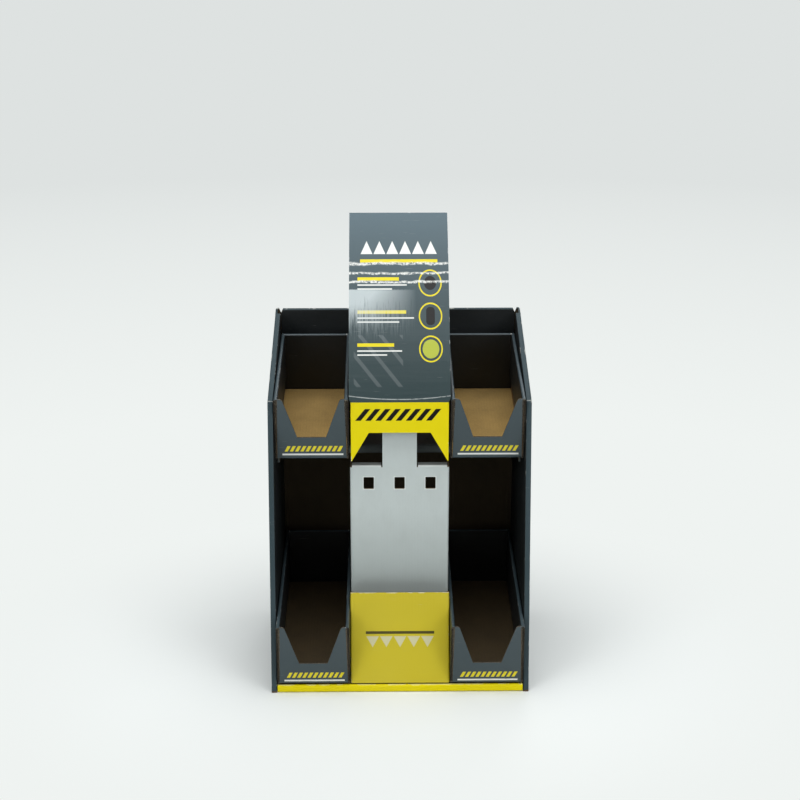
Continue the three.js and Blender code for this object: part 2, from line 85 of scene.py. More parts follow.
class Finish:
    # one material and the few ways in which its nodes are made
    def __init__(self, name, **constants):
        self.material = bpy.data.materials.new(name)
        self.material.use_nodes = True
        self.tree = self.material.node_tree
        self.surface = self.tree.nodes["Principled BSDF"]
        for socket, setting in constants.items():
            self.surface.inputs[socket.replace("_", " ")].default_value = setting
        self.place = self.add("ShaderNodeTexCoord", {}, []).outputs["Object"]
        split = self.add("ShaderNodeSeparateXYZ", {}, [self.place])
        self.x, self.y, self.z = (Value(self, split.outputs[i]) * 1000 for i in range(3))

    def add(self, kind, settings, inputs):
        node = self.tree.nodes.new(kind)
        for name, setting in settings.items():
            setattr(node, name, setting)
        pairs = inputs.items() if isinstance(inputs, dict) else enumerate(inputs)
        for key, given in pairs:
            socket = given.socket if isinstance(given, Value) else given
            if isinstance(socket, bpy.types.NodeSocket):
                self.tree.links.new(socket, node.inputs[key])
            else:
                node.inputs[key].default_value = socket
        return node

    def out(self, kind, settings, inputs, output=0):
        return Value(self, self.add(kind, settings, inputs).outputs[output])

    def clamp(self, value):
        return self.out("ShaderNodeClamp", {}, [value])

    def above(self, value, edge, soft):
        return self.clamp((value - edge) / soft + 0.5)

    def band(self, value, low, high, soft=0.15):
        return self.above(value, low, soft) * (1 - self.above(value, high, soft))

    def patch(self, across, up, x0, x1, z0, z1, soft=0.2):
        return self.band(across, x0, x1, soft) * self.band(up, z0, z1, soft)

    def union(self, first, *others):
        for other in others:
            first = first.math("MAXIMUM", other)
        return first

    # noise by lengths in millimetres, one for each direction
    def noise(self, size, detail, rough=0.55, seed=0.0):
        sizes = size if isinstance(size, tuple) else (size, size, size)
        spread = self.add("ShaderNodeMapping", {}, {
            "Vector": self.place,
            "Location": (seed, seed * 0.7, -seed),
            "Scale": tuple(1 / (s * mm) for s in sizes)})
        inputs = {"Vector": spread.outputs[0], "Scale": 1.0, "Detail": detail, "Roughness": rough}
        return self.out("ShaderNodeTexNoise", {}, inputs)

    def mix(self, share, first, second):
        settings = {"data_type": "RGBA"}
        inputs = {0: share, 6: self.colour(first), 7: self.colour(second)}
        return self.out("ShaderNodeMix", settings, inputs, 2)

    def colour(self, given):
        if isinstance(given, tuple):
            return (*(linear(c) for c in given), 1.0)
        return given

    def paint(self, colour, roughness, height, depth):
        self.tree.links.new(colour.socket, self.surface.inputs["Base Color"])
        if isinstance(roughness, Value):
            self.tree.links.new(roughness.socket, self.surface.inputs["Roughness"])
        else:
            self.surface.inputs["Roughness"].default_value = roughness
        bump = self.add("ShaderNodeBump", {}, {"Height": height, "Strength": 1.0, "Distance": depth * mm})
        self.tree.links.new(bump.outputs[0], self.surface.inputs["Normal"])
        return self.material


# a level from 0 to 255, as it is seen, turned into a share of light
def linear(level):
    share = level / 255
    return share / 12.92 if share <= 0.04045 else ((share + 0.055) / 1.055) ** 2.4


# Boards: bare kraft, raw cut edges and printed sides

kraft = {"plain": (146, 112, 70), "shade": (62, 51, 31), "floor": (174, 142, 80),
         "lowerFloorShade": (74, 60, 35), "flutePaper": (74, 64, 49), "cavity": (20, 15, 11),
         "rearShade": 0.35, "flutePitch": 3.6}
# hollow between the flutes (painted shade), cut board and torn fibres; the tray edges take darker copies of
# all three, painted shade
cutEdges = {"board": ((30, 22, 15), (122, 97, 66), (166, 146, 112)),
            "tray": ((9, 8, 7), (66, 58, 46), (150, 142, 124))}
prints = {"slate": (50, 64, 69), "slateHigh": (55, 69, 75), "shell": (45, 62, 68), "darkPrintAndShade": (5, 9, 11),
          "yellow": (228, 211, 6), "shadedYellow": (194, 178, 42), "pale": (190, 199, 198), "ink": (10, 10, 11),
          "white": (232, 234, 230), "crease": (176, 178, 172), "core": (92, 66, 40)}


# the rise and fall of the flutes along a length in millimetres
def fluteWave(along):
    return (along * (2 * pi / kraft["flutePitch"])).math("SINE")


# a colour made darker or lighter by one factor
def tone(colour, factor):
    return tuple(min(255, level * factor) for level in colour)


def kraftFinish(name, base, fluteAlong, rearShade=0.0):
    f = Finish(name)
    alongY = fluteAlong == "y"
    fibres = f.noise((1.1, 5, 1.1) if alongY else (1.1, 1.1, 5), 4, 0.65)
    cloud = f.noise(30, 3)
    speck = f.above(f.noise(0.9, 2, 0.7, 3.0), 0.66, 0.1)
    pale = f.above(f.noise(1.4, 3, 0.7, 6.0), 0.66, 0.1)
    rib = fluteWave(f.x if alongY else f.z)
    dark = tone(base, 0.84)
    colour = f.mix(f.clamp((cloud - 0.3) * 2.2), dark, base)
    colour = f.mix(f.clamp((fibres - 0.42) * 1.6), colour, tone(base, 1.10))
    colour = f.mix(speck * 0.45, colour, tone(base, 0.62))
    colour = f.mix(pale * 0.25, colour, tone(base, 1.3))
    colour = f.mix(f.clamp(rib * 0.5 + 0.5) * 0.18, colour, dark)
    if rearShade:
        rear = f.clamp((f.y + yShift - 30) / 130)
        colour = f.mix(rear * rearShade, colour, tone(base, 0.6))
    return f.paint(colour, fibres * 0.15 + 0.78, fibres * 0.5 + rib * 0.35, 0.1)


def rawEdgeFinish(name, hollow, board, torn):
    f = Finish(name)
    uv = f.add("ShaderNodeUVMap", {"uv_map": "board"}, [])
    split = f.add("ShaderNodeSeparateXYZ", {}, [uv.outputs[0]])
    along = Value(f, split.outputs[0]) * 1000
    across = Value(f, split.outputs[1])
    wobble = f.noise(7, 2, 0.5, 1.0) * 1.6
    wave = fluteWave(along + wobble) * 0.33 + 0.5
    medium = 1 - f.above(abs(across - wave), 0.12, 0.12)
    liners = 1 - f.band(across, 0.13, 0.87, 0.08)
    fibres = f.noise(1.3, 3, 0.7, 5.0)
    solid = f.clamp(f.union(medium, liners) + f.above(fibres, 0.66, 0.15) * 0.6)
    # the hollows between the flutes take the dark hollow colour, painted shade
    colour = f.mix(solid, hollow, board)
    colour = f.mix(f.above(fibres, 0.58, 0.2) * 0.45, colour, torn)
    return f.paint(colour, 0.9, solid + fibres * 0.4, 0.35)


# scratches, rubbed edges and a faint pattern of the flutes under a printed side
def wornPrint(f, colour, wear, shine, ripple, fluteAcross=None):
    scratch = f.above(f.noise((30, 26, 0.5), 2, 0.5, 2.0), 0.72, 0.02)
    gate = f.above(f.noise(26, 2, 0.5, 4.0), 0.60, 0.10)
    rubAndGlare = f.above(f.noise((9, 9, 4), 4, 0.7, 7.0), 0.68, 0.14)
    cloud = f.noise(60, 3, 0.5, 9.0)
    colour = f.mix(f.clamp(cloud - 0.40) * 0.12 * wear, colour, (150, 156, 158))
    colour = f.mix(scratch * gate * wear * 0.5, colour, (188, 190, 188))
    colour = f.mix(rubAndGlare * wear * 0.10, colour, (150, 152, 150))
    height = f.noise(14, 3, 0.5, 6.0) * ripple
    if fluteAcross is not None:
        height = height + fluteWave(fluteAcross) * 0.05
    roughness = f.clamp(rubAndGlare * 0.25 + cloud * 0.12 + shine)
    return f.paint(colour, roughness, height, 0.16)


# pale board that shows where a fold has cracked the print; distance is measured from the fold
def chips(f, distance, width, seed, amount=0.5):
    ragged = f.noise((3.0, 3.0, 2.0), 4, 0.75, seed)
    gate = f.noise((17, 17, 13), 3, 0.6, seed + 2)
    reach = width * f.clamp((gate - 1 + amount) * 6) * (ragged + 0.2)
    return f.clamp(1 - f.above(abs(distance), reach, 0.2)) * f.above(reach, 0.12, 0.12)


# Plain shapes for the printed sides

# an even row of stripes, from one place to another across the sheet
def stripes(f, across, start, stop, pitch, share):
    turn = ((across - start) / pitch).math("FRACT")
    return f.band(turn, 0.04, 0.04 + share, 0.05) * f.band(across, start, stop)


# filled triangles in a row on the height given; a negative rise lets them hang
def pennants(f, start, stop, height, pitch, rise):
    tooth = (0.5 - abs(((f.x - start) / pitch).math("FRACT") - 0.5)) * 2
    up = (f.z - height) / rise
    return f.above(up, 0.0, 0.04) * (1 - f.above(up - tooth, -0.08, 0.05)) * f.band(f.x, start, stop)


def roundedBlock(f, x, z, halfWidth, halfHeight, corner):
    beyondX = (abs(f.x - x) - (halfWidth - corner)).math("MAXIMUM", 0.0)
    beyondZ = (abs(f.z - z) - (halfHeight - corner)).math("MAXIMUM", 0.0)
    reach = (beyondX * beyondX + beyondZ * beyondZ).math("SQRT")
    return 1 - f.above(reach, corner, 0.3)


def disc(f, x, z, radius):
    return roundedBlock(f, x, z, radius, radius, radius)


def ring(f, x, z, radius, width):
    return disc(f, x, z, radius) - disc(f, x, z, radius - width)


# Sheets: a copy of a node's mesh with its loose triangles merged and its faces sorted into finishes

def copyOf(node, name):
    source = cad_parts[node]
    piece = bpy.data.objects.new(name, source.data.copy())
    bpy.context.collection.objects.link(piece)
    piece.data.materials.clear()
    mesh = bmesh.new()
    mesh.from_mesh(piece.data)
    bmesh.ops.remove_doubles(mesh, verts=mesh.verts, dist=0.00001)
    bmesh.ops.dissolve_degenerate(mesh, dist=0.00001, edges=mesh.edges)
    mesh.to_mesh(piece.data)
    mesh.free()
    return piece


def alone(piece):
    bpy.ops.object.select_all(action="DESELECT")
    piece.select_set(True)
    bpy.context.view_layer.objects.active = piece


# every face gets the finish that sort() names; cut edges get the board map, along and across the board
def dress(piece, finishes, sort):
    names = list(finishes)
    for name in names:
        piece.data.materials.append(finishes[name])
    mesh = bmesh.new()
    mesh.from_mesh(piece.data)
    board = mesh.loops.layers.uv.new("board")
    cutFaces = set()
    for face in mesh.faces:
        face.normal_update()
        name = sort(face.calc_center_median() * 1000, face.normal)
        face.material_index = names.index(name)
        if name == "raw":
            cutFaces.add(face)
    for face in cutFaces:
        for loop in face.loops:
            loop[board].uv = boardPlace(face, loop.vert, cutFaces)
    mesh.to_mesh(piece.data)
    mesh.free()


def boardPlace(face, vertex, cutFaces):
    normals = [near.normal for near in vertex.link_faces if near not in cutFaces]
    side = 0.5
    if normals:
        lead = max(normals, key=lambda n: (abs(n.y) + abs(n.z) * 0.9, abs(n.x)))
        inward = face.calc_center_median() - vertex.co
        side = 1.0 if inward.dot(lead) < 0 else 0.0
    upright = abs(face.normal.z) < 0.7
    along = vertex.co.z + vertex.co.y * 0.7 if upright else vertex.co.x + vertex.co.y
    return along, side


def finishPiece(piece, node):
    alone(piece)
    bpy.ops.object.shade_smooth_by_angle(angle=radians(34))
    flatten = piece.modifiers.new("flat_faces_stay_flat", "WEIGHTED_NORMAL")
    flatten.keep_sharp = True
    flatten.weight = 100
    bpy.ops.object.modifier_apply(modifier=flatten.name)
    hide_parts(node)
    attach(piece, "root")


def dressedSheet(node, name, finishes, sort):
    piece = copyOf(node, name)
    dress(piece, finishes, sort)
    finishPiece(piece, node)


print("stage: finishes")
raw = rawEdgeFinish("raw_board_edge", *cutEdges["board"])
# the tray edges take the darker copies of the edge colours, painted shade
rawTrayShaded = rawEdgeFinish("raw_tray_edge_in_shade", *cutEdges["tray"])
kraftDark = kraftFinish("kraft_in_shade", kraft["shade"], "y")
# the lower trays' floors are kraft made dark, painted shade under the shelf
kraftLowerShaded = kraftFinish("kraft_lower_floor_in_shade", kraft["lowerFloorShade"], "y")
kraftFloor = kraftFinish("kraft_floor", kraft["floor"], "y", kraft["rearShade"])
kraftPlain = kraftFinish("kraft_plain", kraft["plain"], "z")


# Outer shell

shell = {"shoulder": 340, "back": 405, "depth": 182, "width": 300, "wall": 6.4, "setback": 48}


def shellFinish():
    f = Finish("slate_shell_print", Specular_IOR_Level=0.35)
    drawY = f.y + yShift
    slope = (shell["back"] - shell["shoulder"]) / shell["depth"]
    fromTop = (f.z - shell["shoulder"] - drawY * slope) * -0.94
    fromFront = (drawY - (f.z / shell["shoulder"] - 1) * shell["setback"]) * 0.99
    aside = abs(f.x)
    inner = 1 - f.above(aside, shell["width"] / 2 - shell["wall"] + 0.5, 0.3)
    inner = inner * (1 - f.above(drawY, shell["depth"] - 1.2, 0.3)) * (1 - f.above(f.z, 403.4, 0.6))
    # the inner faces take the dark inside print, made darker still as painted shade
    colour = f.mix(inner * 0.95, prints["shell"], prints["darkPrintAndShade"])
    outerCorner = shell["width"] / 2 - aside
    innerCorner = abs(aside - shell["width"] / 2 + shell["wall"])
    edge = f.union(chips(f, f.union(outerCorner, fromFront), 1.3, 5.0, 0.46),
                   chips(f, f.union(innerCorner, fromFront), 1.1, 6.0, 0.44),
                   chips(f, f.union(outerCorner, fromTop), 1.6, 3.0, 0.52),
                   chips(f, f.union(innerCorner, fromTop), 1.4, 4.0, 0.52))
    backTop = chips(f, f.z - 404.6, 1.1, 8.0, 0.46) * f.above(drawY, 174, 1)
    bend = chips(f, fromFront - 2.0, 0.9, 21.0, 0.6) * f.above(f.z, 337, 1)
    colour = f.mix(f.union(edge, backTop, bend) * 0.7, colour, prints["crease"])
    foot = 1 - f.above(f.z + f.noise(4, 3, 0.6, 6.0) * 3, 3.4, 1.0)
    colour = f.mix(foot * (1 - f.above(fromFront, 9, 3)) * 0.8, colour, prints["core"])
    return wornPrint(f, colour, wear=0.6, shine=0.5, ripple=0.5, fluteAcross=f.x + f.y)


def sortShell(c, n):
    drawY = c.y + yShift
    innerSide = shell["width"] / 2 - shell["wall"]
    fromMiddle = abs(c.x) - (shell["width"] - shell["wall"]) / 2
    outward = n.x if c.x > 0 else -n.x
    if c.z < 0.3 and n.z < -0.9:
        return "raw"
    if drawY > 176 and abs(n.y) < 0.3 and abs(n.x) > 0.7 and abs(c.x) < innerSide:
        return "raw"
    if drawY > 178 and n.y < -0.6 and c.z < 400:
        return "inside"
    if drawY > 176 and n.z < -0.7 and c.z > 100:
        return "raw"
    if abs(fromMiddle) < 1.2 and abs(n.x) > 0.2 and fromMiddle * outward < 0:
        return "inside"
    return "print"


print("stage: outer shell")
shellFinishes = {"print": shellFinish(), "inside": kraftDark, "raw": raw}
dressedSheet("outer_shell", "shell_walls_and_back", shellFinishes, sortShell)


# Base with its coloured strip

strip = {"front": -41.5, "height": 10, "crack": (240, 236, 170)}


def stripFinish():
    f = Finish("yellow_strip_print", Specular_IOR_Level=0.12)
    top = chips(f, f.z - (strip["height"] - 0.7), 1.3, 2.0, 0.55)
    low = chips(f, f.z - 0.4, 1.0, 6.0)
    colour = f.mix(f.union(top, low) * 0.5, prints["yellow"], strip["crack"])
    return wornPrint(f, colour, wear=0.5, shine=0.4, ripple=0.3, fluteAcross=f.x)


def sortBase(c, n):
    if c.y + yShift < strip["front"] and c.z < strip["height"]:
        return "raw" if abs(n.x) > 0.8 else "print"
    return "raw" if n.z > 0.8 and c.z > 12 else "inside"


def sortRiser(c, n):
    cutSide = abs(n.x) > 0.8
    cutFoot = n.z < -0.9 and c.z < 3
    return "raw" if cutSide or cutFoot else "inside"


print("stage: base, riser and shelf")
baseFinishes = {"print": stripFinish(), "inside": kraftDark, "raw": raw}
dressedSheet("base_tray", "base_and_yellow_strip", baseFinishes, sortBase)
riserFinishes = {"inside": kraftDark, "raw": raw}
dressedSheet("lower_riser", "riser_wedge", riserFinishes, sortRiser)


# Shelf below the upper trays

# high is the near-black painted shade above the hem
shelf = {"hem": 268, "fade": 8, "half": 142, "low": (70, 79, 78), "high": (16, 20, 22)}


def shelfFinish():
    f = Finish("shelf_print_and_painted_shade")
    # slate at the hem, fading above it to near black: painted shade under the sign
    colour = f.mix(f.clamp((f.z - shelf["hem"]) / shelf["fade"]), shelf["low"], shelf["high"])
    return wornPrint(f, colour, wear=0.15, shine=0.5, ripple=0.3)


def sortShelf(c, n):
    if abs(n.x) > 0.8:
        return "raw" if abs(c.x) < shelf["half"] else "print"
    if n.z < -0.7:
        return "inside" if c.z > shelf["hem"] else "raw"
    return "print"


shelfFinishes = {"print": shelfFinish(), "inside": kraftDark, "raw": raw}
dressedSheet("upper_shelf", "shelf_under_upper_trays", shelfFinishes, sortShelf)


# Trays

# both rows share these sizes; the tilt and the height of the printed line are each row's own
trays = {"middle": 100.65, "width": 84.5, "height": 77, "board": 2.0, "hem": 4.5,
         "upper": {"tilt": 10.6, "mark": 5.0},
         "lower": {"tilt": 7.5, "mark": 3.6}}
# the fluted middle of the board, seen where a tray's side walls end beside its lip
flutes = {"height": 1.16, "paper": 0.24, "depth": 1.5, "from": 3.2, "to": 74.4, "steps": 12}


# y and z of the line where a lip meets its tray's floor
def trayFoot(node, tilt):
    low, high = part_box(node)
    return low.y * 1000 + trays["height"] * sin(radians(tilt)), low.z * 1000


def trayMiddle(side):
    return trays["middle"] if side == "right" else -trays["middle"]


def trayPrintFinish(row, side, foot):
    # slate print with a row of yellow stripes over a white line, low on the lip
    f = Finish(f"slate_lip_{row}_{side}")
    tilt = radians(trays[row]["tilt"])
    depth = f.y - foot[0]
    up = (f.z - foot[1]) * cos(tilt) - depth * sin(tilt)
    across = f.x - trayMiddle(side)
    fromLip = depth + up * sin(tilt)
    front = 1 - f.above(fromLip, 1.2, 0.3)
    base = f.mix(f.clamp(up / trays["height"]), prints["slate"], prints["slateHigh"])
    inside = (1 - front) * (1 - f.above(up, trays["height"] - 1, 0.6))
    # the inside of the lip takes the dark inside print, made darker still as painted shade
    colour = f.mix(inside * 0.95, base, prints["darkPrintAndShade"])
    low = trays[row]["mark"]
    slanted = across - (up - low) * 0.5
    marks = stripes(f, slanted, -34, 32, 6.0, 0.6) * f.band(up, low + 5, low + 12)
    line = f.patch(across, up, -34, 36, low, low + 2.2)
    colour = f.mix(marks * front * 0.94, colour, prints["yellow"])
    colour = f.mix(line * front * 0.9, colour, prints["white"])
    fromSide = abs(across) - trays["width"] / 2
    fromTop = trays["height"] - 0.2 - up
    rim = chips(f, f.union(abs(fromSide), fromTop), 1.2, 11.0, 0.5)
    rimIn = chips(f, f.union(abs(fromSide + trays["hem"]), fromTop), 1.1, 13.0, 0.55)
    foldLow = chips(f, f.union(abs(fromLip), up), 1.3, 14.0, 0.5)
    colour = f.mix(f.union(rim, rimIn, foldLow) * 0.6, colour, prints["crease"])
    return wornPrint(f, colour, wear=0.45, shine=0.42, ripple=0.3)


def sortTray(foot, tilt, middle):
    t = radians(tilt)
    half = trays["width"] / 2
    board = trays["board"]

    def sort(c, n):
        across = c.x - middle
        y = (c.y - foot[0]) * cos(t) + (c.z - foot[1]) * sin(t)
        up = (c.z - foot[1]) * cos(t) - (c.y - foot[0]) * sin(t)
        ny = n.y * cos(t) + n.z * sin(t)
        nz = n.z * cos(t) - n.y * sin(t)
        if abs(across) > half - trays["hem"] - 0.1:
            return sortWall(across, y, up, n.x, ny, nz)
        if y < board + 0.6 and up > 2.2:
            if ny < -0.8:
                return "print"
            return "inside" if ny > 0.8 else "raw"
        if nz > 0.8 and up < 3:
            return "floor"
        if y < 4 and up < 2.2:
            return "print" if ny < -0.1 or nz < -0.1 else "inside"
        if nz < -0.8 and up < 1:
            return "print"
        if abs(across) < half - board + 0.05 and abs(n.x) > 0.8:
            return "raw"
        return "print"

    def sortWall(across, y, up, nx, ny, nz):
        fromFace = half - abs(across)
        inRecess = y < flutes["depth"] + 0.05 and 0.3 < fromFace < 1.7 and 3 < up < 74.6
        if inRecess and not (ny < -0.8 and y < 0.1):
            return "cavity"
        if abs(ny) > 0.8 or (nz < -0.8 and up > 5):
            return "raw"
        upright = abs(nx) > 0.8
        if upright and nx * across < 0 and abs(fromFace - board) < 0.1:
            return "inside"
        if upright and nx * across > 0 and fromFace > 1:
            return "inside"
        return "print"

    return sort


# points in the tray's own level frame are moved to their tilted place
def setInTray(piece, foot, tilt, middle):
    t = radians(tilt)
    for vertex in piece.data.vertices:
        x, y, z = vertex.co
        tiltedY = foot[0] + y * cos(t) - z * sin(t)
        tiltedZ = foot[1] + y * sin(t) + z * cos(t)
        vertex.co = ((middle + x) * mm, tiltedY * mm, tiltedZ * mm)


def placedBlock(name, low, high, foot, tilt, middle):
    size = [b - a for a, b in zip(low, high)]
    centre = [(a + b) / 2 for a, b in zip(low, high)]
    bpy.ops.object.select_all(action="DESELECT")
    bpy.ops.mesh.primitive_cube_add(size=1)
    block = bpy.context.object
    block.name = name
    for vertex in block.data.vertices:
        vertex.co = [c + v * s for c, v, s in zip(centre, vertex.co, size)]
    setInTray(block, foot, tilt, middle)
    return block


def cutOut(piece, cutter):
    alone(piece)
    cut = piece.modifiers.new("recess", "BOOLEAN")
    cut.operation = "DIFFERENCE"
    cut.solver = "EXACT"
    cut.object = cutter
    bpy.ops.object.modifier_apply(modifier=cut.name)
    bpy.data.objects.remove(cutter, do_unlink=True)


def fluteRibbon(name, across, foot, tilt, middle):
    # a wavy paper strip: a grid bent step by step along the wall, then given its thickness
    span = flutes["to"] - flutes["from"]
    pitch = kraft["flutePitch"]
    steps = int(span / pitch * flutes["steps"])
    amplitude = (flutes["height"] - flutes["paper"]) / 2
    phase = random.uniform(0, 2 * pi)
    ragged = [0.12 + random.uniform(0, 0.1) for i in range(steps + 1)]
    bpy.ops.object.select_all(action="DESELECT")
    bpy.ops.mesh.primitive_grid_add(x_subdivisions=steps, y_subdivisions=1, size=1)
    ribbon = bpy.context.object
    ribbon.name = name
    for vertex in ribbon.data.vertices:
        i = round((vertex.co.x + 0.5) * steps)
        y = flutes["depth"] - 0.05 if vertex.co.y > 0 else ragged[i]
        z = flutes["from"] + span * i / steps
        vertex.co = (across + amplitude * sin(2 * pi * z / pitch + phase), y, z)
    ribbon.data.materials.append(flutePaper)
    alone(ribbon)
    thick = ribbon.modifiers.new("paper", "SOLIDIFY")
    thick.thickness = flutes["paper"]
    thick.offset = 0
    bpy.ops.object.modifier_apply(modifier=thick.name)
    bpy.ops.object.shade_smooth_by_angle(angle=radians(40))
    setInTray(ribbon, foot, tilt, middle)
    return ribbon


def joinTo(piece, others):
    alone(piece)
    for other in others:
        other.select_set(True)
    bpy.ops.object.join()


def addTray(row, side):
    node = f"tray_{row}_{side}"
    tilt = trays[row]["tilt"]
    foot = trayFoot(node, tilt)
    middle = trayMiddle(side)
    piece = copyOf(node, f"{row}_{side}_tray_sheet")
    ribbons = []
    for way in (-1, 1):
        across = way * (trays["width"] - trays["board"]) / 2
        half = flutes["height"] / 2
        low = (across - half, -0.4, flutes["from"])
        high = (across + half, flutes["depth"], flutes["to"])
        cutOut(piece, placedBlock("recess_cutter", low, high, foot, tilt, middle))
        ribbons.append(fluteRibbon(f"{row}_{side}_flutes_{way}", across, foot, tilt, middle))
    finishes = {"print": trayPrintFinish(row, side, foot), **boardsInside[row],
                "raw": rawTrayShaded, "cavity": cavity}
    dress(piece, finishes, sortTray(foot, tilt, middle))
    finishPiece(piece, node)
    joinTo(piece, ribbons)


print("stage: trays")
flutePaper = kraftFinish("flute_paper", kraft["flutePaper"], "y")
# the tray recesses get near-black kraft, painted shade
cavity = kraftFinish("board_cavity_painted_shade", kraft["cavity"], "y")
boardsInside = {"upper": {"inside": kraftPlain, "floor": kraftFloor},
                "lower": {"inside": kraftDark, "floor": kraftLowerShaded}}
for row in ("upper", "lower"):
    for side in ("left", "right"):
        addTray(row, side)


# Centre column

# low is the painted shade at the foot of the column
column = {"half": 57.3, "neckHalf": 20.6, "front": 12, "shoulder": 259.5,
          "slotDrop": 21.5, "slotPitch": 35.8, "slotWidth": 11.9, "slotHeight": 14.5,
          "low": (136, 145, 142), "dirt": (120, 122, 118), "shoulderShade": (70, 71, 66), "crack": (225, 229, 225)}


# a pale crushed rim around the three slots
def slotRims(f):
    aside = abs(f.x)
    nearest = aside.math("MINIMUM", abs(aside - column["slotPitch"]))
    across = nearest - column["slotWidth"] / 2
    up = abs(f.z - column["shoulder"] + column["slotDrop"]) - column["slotHeight"] / 2
    return f.band(f.union(across, up), -0.2, 0.9, 0.3)


def columnFinish():
    f = Finish("pale_column_print")
    # darker towards the bottom, painted shade
    low = 1 - f.clamp((f.z - 60) / 150)
    colour = f.mix(low * 0.85, prints["pale"], column["low"])
    dirt = f.above(f.noise((16, 16, 26), 4, 0.6, 3.0), 0.60, 0.3)
    colour = f.mix(dirt * 0.08, colour, column["dirt"])
    # the top faces beside the neck are painted dark grey, painted shade under the sign's drop
    besideNeck = f.above(abs(f.x), column["neckHalf"], 0.3)
    onShoulder = f.above(f.z, column["shoulder"] - 0.1, 0.4)
    colour = f.mix(besideNeck * onShoulder * 0.9, colour, column["shoulderShade"])
    fold = besideNeck * f.band(f.z, column["shoulder"] - 1.7, column["shoulder"] - 0.2)
    fromEdge = f.union(column["half"] - abs(f.x), f.y + yShift - column["front"])
    side = chips(f, fromEdge, 1.0, 9.0, 0.6)
    colour = f.mix(f.union(fold * 0.6, side, slotRims(f) * 0.7) * 0.8, colour, column["crack"])
    return wornPrint(f, colour, wear=0.15, shine=0.5, ripple=0.2, fluteAcross=f.x)


def sortColumn(c, n):
    aside = abs(c.x)
    outward = n.x * c.x
    if c.y + yShift < column["front"] + 0.6 and n.y < -0.5:
        return "print"
    if c.z > 258 and n.z > 0.5 and aside > 19:
        return "print"
    if outward > 0 and abs(n.x) > 0.6 and aside > 56:
        return "print"
    if n.y < -0.2 and n.z > 0.1:
        return "print"
    if abs(n.y) > 0.8 and aside < 55.6:
        return "inside"
    if outward < 0 and abs(n.x) > 0.6 and aside > 55:
        return "inside"
    return "raw"


print("stage: column")
columnFinishes = {"print": columnFinish(), "inside": kraftPlain, "raw": raw}
dressedSheet("centre_column", "slotted_column", columnFinishes, sortColumn)


# Pocket

pocket = {"half": 57.8, "foot": 12, "front": -46.6, "lean": 20.7, "slope": 0.378, "rim": 109.6,
          "pennant": (203, 206, 190), "line": (38, 38, 28), "crack": (226, 220, 180)}


def pocketFinish():
    f = Finish("yellow_pocket_print_in_painted_shade", Specular_IOR_Level=0.25)
    behindPanel = f.y + yShift - pocket["front"] - (f.z - pocket["foot"]) * pocket["slope"]
    hanging = pennants(f, -40, 40, 62, 16, -13)
    # the pocket's yellow is a darker copy of the strip's yellow, painted shade
    colour = f.mix(hanging * 0.62, prints["shadedYellow"], pocket["pennant"])
    line = f.patch(f.x, f.z, -40, 40, 64.5, 67.5)
    colour = f.mix(line * 0.9, colour, pocket["line"])
    rim = chips(f, f.z - pocket["rim"], 1.4, 2.0, 0.6)
    side = chips(f, f.union(pocket["half"] - abs(f.x), behindPanel), 1.3, 6.0, 0.55)
    colour = f.mix(f.union(rim, side) * 0.85, colour, pocket["crack"])
    return wornPrint(f, colour, wear=0.35, shine=0.42, ripple=0.4, fluteAcross=f.x)


def sortPocket(c, n):
    lean = Vector((0, -cos(radians(pocket["lean"])), sin(radians(pocket["lean"]))))
    outward = n.x * c.x > 0
    if n.dot(lean) > 0.7:
        return "print"
    if abs(n.x) > 0.8:
        return "print" if outward else "inside"
    if n.z > 0.85 and c.z > 112:
        return "raw"
    return "print" if abs(n.x) > 0.2 and outward else "inside"


print("stage: pocket")
pocketFinishes = {"print": pocketFinish(), "inside": kraftPlain, "raw": raw}
dressedSheet("pocket_front", "leaflet_pocket", pocketFinishes, sortPocket)


# Sign

# a row has its height, the half width, half height and corner of its shape, and where its line ends;
# a streak has its height and half its thickness
# low and high make the face lighter towards the top, a painted reflection
sign = {"half": 57.8, "fold": 340, "top": 531, "dropHalf": 55.5, "left": -48,
        "ringX": 36, "ringRadius": 13.5, "ringWidth": 1.5,
        "rows": ((460, (7, 7, 7), 0), (427, (5, 9, 4), 8), (394, (9.5, 9.5, 9.5), -6)),
        "streaks": ((479.5, 1.8), (470.0, 1.5), (461.0, 1.7)),
        "low": (47, 62, 64), "high": (80, 99, 108), "sheen": (170, 176, 178), "lime": (178, 186, 62),
        "glare": (196, 206, 208), "crack": (178, 184, 183)}


# pennants over a line, then three rows of lines beside ringed shapes
def signPrint(f, colour):
    colour = f.mix(pennants(f, -45, 45, 489, 15, 14) * 0.95, colour, prints["white"])
    yellow = f.patch(f.x, f.z, -45, 45, 480.5, 483.7)
    shapes = []
    whites = []
    for z, size, lineTo in sign["rows"]:
        yellow = f.union(yellow, ring(f, sign["ringX"], z, sign["ringRadius"], sign["ringWidth"]))
        yellow = f.union(yellow, f.patch(f.x, f.z, sign["left"], lineTo, z + 2.4, z + 5.8))
        whites.append(f.patch(f.x, f.z, sign["left"], lineTo + 9, z - 2.6, z - 1.2))
        whites.append(f.patch(f.x, f.z, sign["left"], lineTo - 8, z - 6.6, z - 5.2))
        shapes.append(roundedBlock(f, sign["ringX"], z, *size))
    colour = f.mix(f.union(*whites) * 0.85, colour, prints["white"])
    colour = f.mix(yellow * 0.92, colour, prints["yellow"])
    colour = f.mix(f.union(shapes[0], shapes[1]), colour, prints["ink"])
    return f.mix(shapes[2] * 0.9, colour, sign["lime"])


